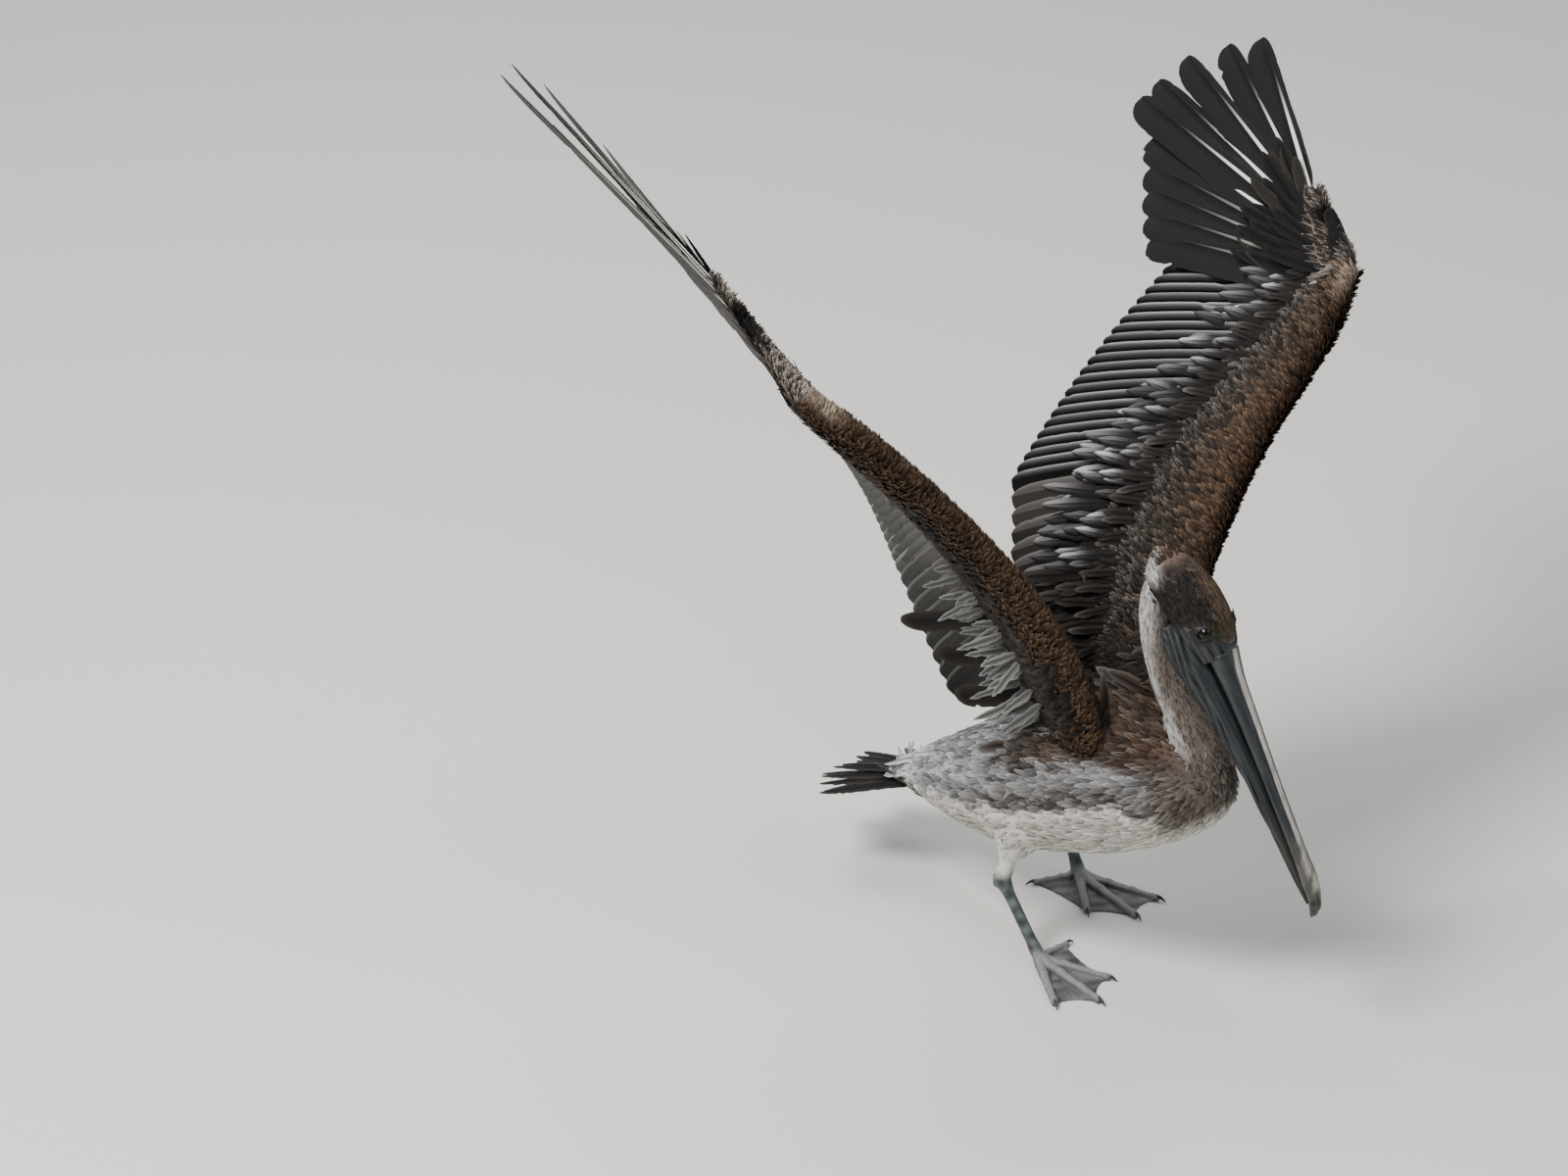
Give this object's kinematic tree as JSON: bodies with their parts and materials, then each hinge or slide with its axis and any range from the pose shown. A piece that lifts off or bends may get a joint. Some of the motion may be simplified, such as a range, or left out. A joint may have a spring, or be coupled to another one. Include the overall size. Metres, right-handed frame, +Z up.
{
  "type": "brown pelican",
  "caption": "Life-size still model of a standing juvenile brown pelican, wings raised and half spread, bill pointing down, webbed feet flat on the ground.",
  "frame": {"origin": "middle of the whole bird's box, on the ground under its feet", "axes": "+Z up; the bird faces -Y and its left side is +X, so the bill is towards -Y and the tail towards +Y"},
  "size_m": [0.8516, 0.794, 0.7925],
  "materials": {
    "belly_plumage": "soft white and grey feathers",
    "brown_plumage": "short grey-brown feathers with pale edges",
    "flight_feathers": "blackish-brown feathers with pale shafts and grey edges, slightly glossy",
    "bill_horn": "blue-grey and horn, satin",
    "pouch_skin": "dark blue-grey wrinkled skin, satin",
    "leg_skin": "blue-grey scaly skin, satin",
    "claw_horn": "dark horn, slightly glossy",
    "eye": "wet, nearly black brown"
  },
  "bodies": {
    "root": {"trunk": "belly_plumage", "neck_lower": "brown_plumage", "neck_middle": "brown_plumage", "neck_upper": "brown_plumage", "head": "brown_plumage", "eye_left": "eye", "eye_right": "eye", "bill_upper": "bill_horn", "bill_lower_and_pouch": "pouch_skin", "tail": "flight_feathers", "wing_left_upper_arm": "brown_plumage", "wing_left_forearm": "brown_plumage", "wing_left_hand": "brown_plumage", "wing_left_primaries": "flight_feathers", "wing_left_secondaries": "flight_feathers", "wing_right_upper_arm": "brown_plumage", "wing_right_forearm": "brown_plumage", "wing_right_hand": "brown_plumage", "wing_right_primaries": "flight_feathers", "wing_right_secondaries": "flight_feathers", "thigh_right": "belly_plumage", "tarsus_right": "leg_skin", "foot_right": "leg_skin", "claw_right_outer": "claw_horn", "claw_right_middle": "claw_horn", "claw_right_inner": "claw_horn", "claw_right_hind": "claw_horn", "thigh_left": "belly_plumage", "tarsus_left": "leg_skin", "foot_left": "leg_skin", "claw_left_outer": "claw_horn", "claw_left_middle": "claw_horn", "claw_left_inner": "claw_horn", "claw_left_hind": "claw_horn"}
  },
  "joints": []
}
